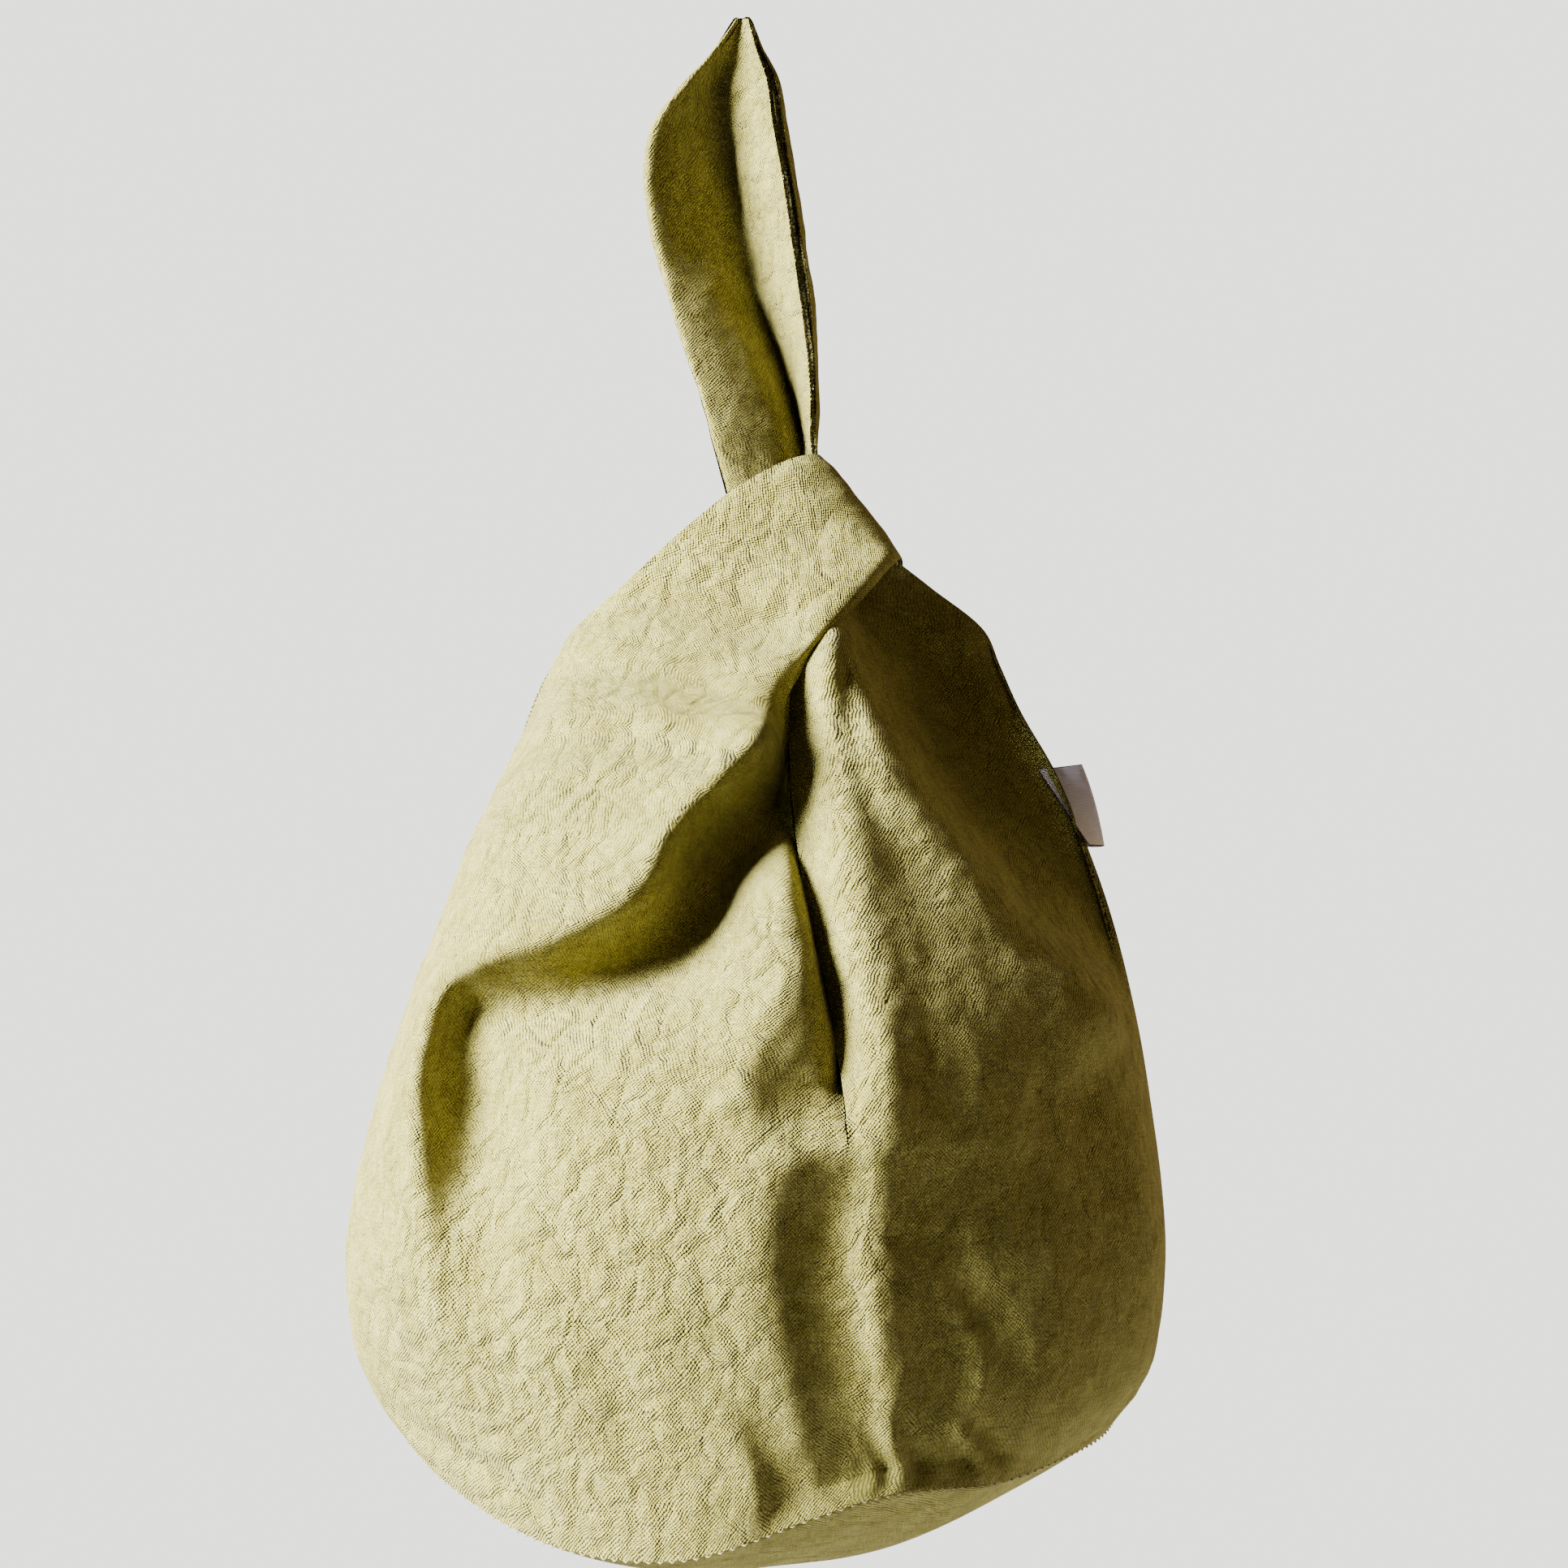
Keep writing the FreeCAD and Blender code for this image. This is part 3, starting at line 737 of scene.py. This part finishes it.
def side_label(material):
    """A short folded ribbon that stands out of the right side seam and twists back towards its low end."""
    top, bottom = np.array([74.6, 0, -190.6]), np.array([85.4, 0, -209.4])
    along = unit(bottom - top)
    out = unit(np.array([0.98, 0.0, 0.14]))
    back = np.array([0.0, 1.0, 0.0])
    loop = [(-1.5, -0.5), (2.0, -0.6), (5.0, -0.6), (8.0, -0.6), (9.2, -0.3), (9.6, 0.2), (9.2, 0.6),
            (7.5, 0.9), (4.8, 0.8), (2.0, 0.6), (-1.5, 0.5)]
    loop = hermite(np.arange(len(loop)), np.array(loop), np.linspace(0, len(loop) - 1, 60))
    length = np.linalg.norm(bottom - top)
    rows = []
    for t in np.linspace(0, 1, 40):
        turn = math.radians(10 + 52 * t)
        ahead = out * math.cos(turn) + back * math.sin(turn)
        beside = back * math.cos(turn) - out * math.sin(turn)
        rows.append([top + along * length * t + ahead * a + beside * b for a, b in loop])
    grid = np.array(rows)
    return cloth_shell("side_label_ribbon", grid, grid_normals(grid), material, RIBBON)


def base_seam_stitches(rim, material):
    """Stitches round the base seam."""
    away = unit(rim - [BASE_MIDDLE[0], 0, 0]) * [1, 1, 0] + [0, 0, -0.4]
    line = rim - [0, 0, 0.6] - away * 0.5
    return stitches("base_seam_thread", line, unit(away), STITCH, BASE_THREAD, material)


def side_seam_stitches(name, grid, side, material):
    """Stitches down a side seam, at the left for a side of -1 and at the right for 1."""
    line = grid[:, 0]
    line = line[line[:, 2] < -SEAM_TOP - 6]
    away = np.tile([float(side), 0, 0], (len(line), 1))
    return stitches(name, line - [side * 0.9, 0, 0], away, STITCH, THREAD, material)


def loop_seam_stitches(grid, material):
    """Stitches over the fold where the two short straps are joined."""
    line = grid[-1][6:-4]
    away = np.tile([0.77, 0, 0.63], (len(line), 1))
    return stitches("loop_seam_thread", line, away, LOOP_STITCH, THREAD, material)


# ------------------------------------------------------------------ floor, lights and camera

def add_floor():
    """A plain pale round floor below the bag."""
    disc = []
    for degrees in range(0, 360, 3):
        angle = math.radians(degrees)
        disc.append((FLOOR_RADIUS * math.cos(angle), FLOOR_RADIUS * math.sin(angle), FLOOR_Z))
    floor = mesh_object("floor", disc, [tuple(range(len(disc)))])
    material, tree, skin = new_material("floor_plain")
    feed(tree, skin, {"Base Color": (0.8, 0.79, 0.77, 1), "Roughness": 0.9})
    floor.data.materials.append(material)


def add_light(name, at, size, power, colour, spread, target):
    data = bpy.data.lights.new(name, "AREA")
    data.size = size
    data.energy = power
    data.color = colour
    data.spread = math.radians(spread)
    lamp = bpy.data.objects.new(name, data)
    lamp.location = at
    lamp.rotation_euler = (Vector(target) - Vector(at)).to_track_quat("-Z", "Y").to_euler()
    lamp.visible_camera = False
    bpy.context.scene.collection.objects.link(lamp)


def add_room():
    """A dim warm room light, which the camera sees as a plain pale wall."""
    world = bpy.data.worlds.new("room")
    world.use_nodes = True
    tree = world.node_tree
    dim = tree.nodes["Background"]
    feed(tree, dim, {"Color": (0.85, 0.58, 0.30, 1), "Strength": 0.024})
    shown = add_node(tree, "ShaderNodeBackground", {"Color": (0.80, 0.79, 0.765, 1), "Strength": 2.9})
    seen = add_node(tree, "ShaderNodeLightPath", {}).outputs["Is Camera Ray"]
    pick = add_node(tree, "ShaderNodeMixShader", {0: seen, 1: dim.outputs[0], 2: shown.outputs[0]})
    feed(tree, tree.nodes["World Output"], {0: pick.outputs[0]})
    bpy.context.scene.world = world


def add_camera():
    data = bpy.data.cameras.new("camera")
    data.lens = 60
    data.sensor_width = 36
    camera = bpy.data.objects.new("camera", data)
    camera.location = (0.01052, -0.64047, -0.26148)
    camera.rotation_euler = (math.radians(96), 0, 0)
    bpy.context.scene.collection.objects.link(camera)
    bpy.context.scene.camera = camera


# ------------------------------------------------------------------ build

outer = cloth_material("outer_cloth", (0.40, 0.364, 0.095), (0.30, 0.27, 0.05), (0.165, 0.141, 0.016))
ribbon = ribbon_material()
thread = thread_material()

front, front_grids = pair(
    names=["front_left_cloth", "front_right_cloth"],
    nets=[FRONT_LEFT, FRONT_RIGHT_BODY + LEFT_LEG],
    closes=[0, 0],
    folds=[[BAND_FOLD, SLOT_DENT] + LOW_FOLDS, [TENSION_FOLD] + LOW_FOLDS],
    flips=[1, -1],
    material=outer,
    seed=1,
)
back, back_grids = pair(
    names=["back_left_cloth", "back_right_cloth"],
    nets=[mirrored(FRONT_LEFT), mirrored(FRONT_RIGHT_BODY) + RIGHT_LEG],
    closes=[5.0, -6.0],
    folds=[[], []],
    flips=[-1, 1],
    material=outer,
    seed=2,
)
front_left, front_right = front
back_left, back_right = back
rim = base_rim(front_grids, back_grids)
base = base_panel(rim, outer)
label = side_label(ribbon)
base_stitches = base_seam_stitches(rim, thread)
side_stitches = [
    side_seam_stitches("side_seam_left_thread", front_grids[0], -1, thread),
    side_seam_stitches("side_seam_right_thread", front_grids[1], 1, thread),
]
loop_stitches = loop_seam_stitches(front_grids[0], thread)

add_floor()
add_light("window", (-1.36, -0.50, 0.28), 0.75, 40, (0.985, 0.99, 1.0), 55, (0, 0, -0.30))
add_light("wall_bounce", (0.80, 0.50, -0.25), 0.9, 6.0, (1.0, 0.77, 0.42), 180, (0, 0, -0.22))
add_light("room_fill", (0.90, -1.15, 0.35), 1.2, 4.2, (1.0, 0.79, 0.46), 180, (0, 0, -0.22))
add_light("floor_wash", (0, 0, -0.46), 0.6, 1.4, (1.0, 0.98, 0.95), 150, (0, 0, -1))
add_room()
add_camera()

# ------------------------------------------------------------------ bodies, stand-ins and sheets

for piece in (front_left, back_left):
    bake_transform(piece)
for piece in (front_right, back_right):
    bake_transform(piece)
for piece in (base, base_stitches, *side_stitches):
    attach(piece, "bag_body")
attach(loop_stitches, "short_loop")
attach(label, "side_label")
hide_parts("outer_front_panel", "lining_front_panel", "short_front_strap_outer",
            "short_front_strap_lining")
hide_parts("long_front_strap_outer", "long_front_strap_lining", "handle_left_leg_outer",
            "handle_left_leg_lining", "handle_peak_outer")
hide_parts("outer_back_panel", "lining_back_panel", "short_back_strap_outer",
            "short_back_strap_lining")
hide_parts("long_back_strap_outer", "long_back_strap_lining", "handle_right_leg_outer",
            "handle_right_leg_lining", "handle_peak_lining")
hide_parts("outer_base_panel", "lining_base_panel")
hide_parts("outer_base_seam", "lining_base_seam")
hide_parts("outer_side_seam_left", "lining_side_seam_left")
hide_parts("outer_side_seam_right", "lining_side_seam_right")
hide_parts("short_loop_seam")
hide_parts("side_label")
